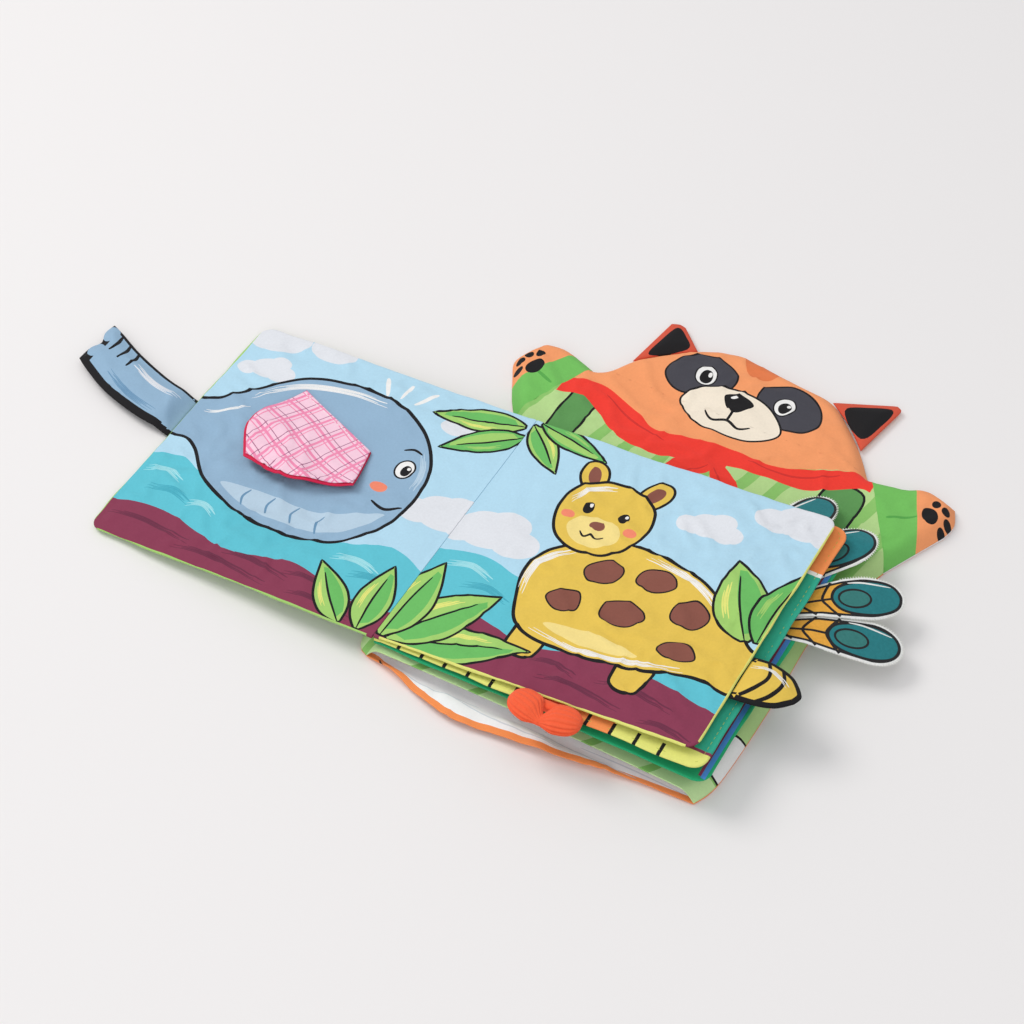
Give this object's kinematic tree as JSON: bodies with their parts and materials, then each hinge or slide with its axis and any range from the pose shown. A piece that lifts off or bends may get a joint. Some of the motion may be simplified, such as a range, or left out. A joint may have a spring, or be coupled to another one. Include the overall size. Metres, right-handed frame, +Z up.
{
  "type": "crinkle cloth book",
  "caption": "Open crinkle cloth book sewn to a soft glove puppet, with padded leaves, a lift-up flap, stuffed tabs, a knit bow and felt feathers.",
  "frame": {"origin": "on the table, under the middle of the spine", "axes": "+X from the spine towards the fore edge, +Y along the spine towards the puppet head, +Z up"},
  "size_m": [0.5691, 0.355, 0.043],
  "materials": {
    "shirt_cloth": "printed woven polyester",
    "orange_cloth": "plain woven polyester",
    "head_cloth": "printed woven polyester",
    "ear_cloth": "printed woven polyester",
    "tape_cloth": "folded woven tape",
    "plaid_cloth": "woven plaid cotton",
    "crimson_cloth": "plain woven polyester",
    "slate_cloth": "printed woven polyester",
    "black_cloth": "printed woven polyester",
    "wadding": "polyester fibre filling",
    "yellow_cloth": "printed woven polyester",
    "coral_knit": "ribbed knit",
    "page_cloth": "printed woven polyester",
    "green_cloth": "printed woven polyester",
    "lime_cloth": "printed woven polyester",
    "emerald_cloth": "printed woven polyester",
    "crinkle_film": "crinkle film quilted to thin fleece",
    "felt": "printed felt with overlocked edge"
  },
  "bodies": {
    "root": {"puppet_body_front": "shirt_cloth", "puppet_body_back": "orange_cloth", "spine_binding": "tape_cloth"},
    "head": {"puppet_head_front": "head_cloth", "puppet_head_back": "orange_cloth"},
    "arm_left": {"arm_left_front": "shirt_cloth", "arm_left_back": "orange_cloth"},
    "arm_right": {"arm_right_front": "shirt_cloth", "arm_right_back": "orange_cloth"},
    "ear_left": {"ear_left": "ear_cloth"},
    "ear_right": {"ear_right": "ear_cloth"},
    "front_leaf": {"front_leaf_inner_panel": "page_cloth", "front_leaf_outer_panel": "green_cloth", "front_leaf_crinkle_film": "crinkle_film"},
    "flap": {"flap_face": "plaid_cloth", "flap_backing": "crimson_cloth"},
    "long_tab": {"long_tab_top": "slate_cloth", "long_tab_bottom": "black_cloth", "long_tab_filling": "wadding"},
    "leaf_3": {"leaf_3_top_panel": "emerald_cloth", "leaf_3_bottom_panel": "emerald_cloth", "leaf_3_crinkle_film": "crinkle_film", "feather_0_stem": "felt", "feather_1_stem": "felt", "feather_2_stem": "felt", "feather_3_stem": "felt"},
    "leaf_2": {"leaf_2_top_panel": "lime_cloth", "leaf_2_bottom_panel": "emerald_cloth", "leaf_2_crinkle_film": "crinkle_film", "knit_bow_anchor": "coral_knit"},
    "leaf_1": {"leaf_1_top_panel": "page_cloth", "leaf_1_bottom_panel": "lime_cloth", "leaf_1_crinkle_film": "crinkle_film"},
    "ringed_tab": {"ringed_tab_top": "yellow_cloth", "ringed_tab_bottom": "black_cloth", "ringed_tab_filling": "wadding"},
    "knit_bow": {"knit_bow": "coral_knit"},
    "feather_0": {"feather_0_tip": "felt"},
    "feather_1": {"feather_1_tip": "felt"},
    "feather_2": {"feather_2_tip": "felt"},
    "feather_3": {"feather_3_tip": "felt"}
  },
  "joints": [
    {"name": "front_leaf_turn", "type": "hinge", "parent": "root", "child": "front_leaf", "pos_m": [0, 0, 0.02], "axis": [0, -1, 0], "range_deg": [-160, 0]},
    {"name": "leaf_3_turn", "type": "hinge", "parent": "root", "child": "leaf_3", "pos_m": [0, 0, 0.02], "axis": [0, -1, 0], "range_deg": [0, 27]},
    {"name": "leaf_2_turn", "type": "hinge", "parent": "leaf_3", "child": "leaf_2", "pos_m": [0, 0, 0.02], "axis": [0, -1, 0], "range_deg": [0, 36]},
    {"name": "leaf_1_turn", "type": "hinge", "parent": "leaf_2", "child": "leaf_1", "pos_m": [0, 0, 0.02], "axis": [0, -1, 0], "range_deg": [0, 100]},
    {"name": "flap_lift", "type": "hinge", "parent": "front_leaf", "child": "flap", "pos_m": [-0.11236, 0.04256, 0.0149], "axis": [-0.9154, 0.3953, -0.0756], "range_deg": [0, 165]},
    {"name": "long_tab_fold", "type": "hinge", "parent": "front_leaf", "child": "long_tab", "pos_m": [-0.206, 0.005, 0.0031], "axis": [0, 1, 0], "range_deg": [0, 60]},
    {"name": "ringed_tab_fold", "type": "hinge", "parent": "leaf_1", "child": "ringed_tab", "pos_m": [0.2066, -0.033, 0.0401], "axis": [0, -1, 0], "range_deg": [0, 45]},
    {"name": "knit_bow_lift", "type": "hinge", "parent": "leaf_2", "child": "knit_bow", "pos_m": [0.119, -0.09585, 0.0314], "axis": [-1, 0, 0], "range_deg": [0, 60]},
    {"name": "feather_0_lift", "type": "hinge", "parent": "leaf_3", "child": "feather_0", "pos_m": [0.18328, 0.10245, 0.0276], "axis": [0.9751, -0.2215, 0], "range_deg": [0, 45]},
    {"name": "feather_1_lift", "type": "hinge", "parent": "leaf_3", "child": "feather_1", "pos_m": [0.21384, 0.09362, 0.0261], "axis": [0.8669, -0.4985, 0], "range_deg": [0, 45]},
    {"name": "feather_2_lift", "type": "hinge", "parent": "leaf_3", "child": "feather_2", "pos_m": [0.22648, 0.05461, 0.0276], "axis": [0.6347, -0.7727, 0], "range_deg": [0, 45]},
    {"name": "feather_3_lift", "type": "hinge", "parent": "leaf_3", "child": "feather_3", "pos_m": [0.22528, 0.02798, 0.0261], "axis": [0.3939, -0.9191, 0], "range_deg": [0, 45]},
    {"name": "head_nod", "type": "hinge", "parent": "root", "child": "head", "pos_m": [0.1025, 0.1696, 0.0132], "axis": [1, 0, 0], "range_deg": [0, 50]},
    {"name": "arm_left_wave", "type": "hinge", "parent": "root", "child": "arm_left", "pos_m": [-0.008, 0.13876, 0.0111], "axis": [0.3894, 0.9211, 0], "range_deg": [0, 60]},
    {"name": "arm_right_wave", "type": "hinge", "parent": "root", "child": "arm_right", "pos_m": [0.21851, 0.13824, 0.0111], "axis": [0.5097, -0.8604, 0], "range_deg": [0, 60]},
    {"name": "ear_left_fold", "type": "hinge", "parent": "head", "child": "ear_left", "pos_m": [0.039, 0.20569, 0.0044], "axis": [0.7617, 0.6479, 0], "range_deg": [0, 70]},
    {"name": "ear_right_fold", "type": "hinge", "parent": "head", "child": "ear_right", "pos_m": [0.16856, 0.20508, 0.0044], "axis": [0.7379, -0.6749, 0], "range_deg": [0, 70]}
  ]
}
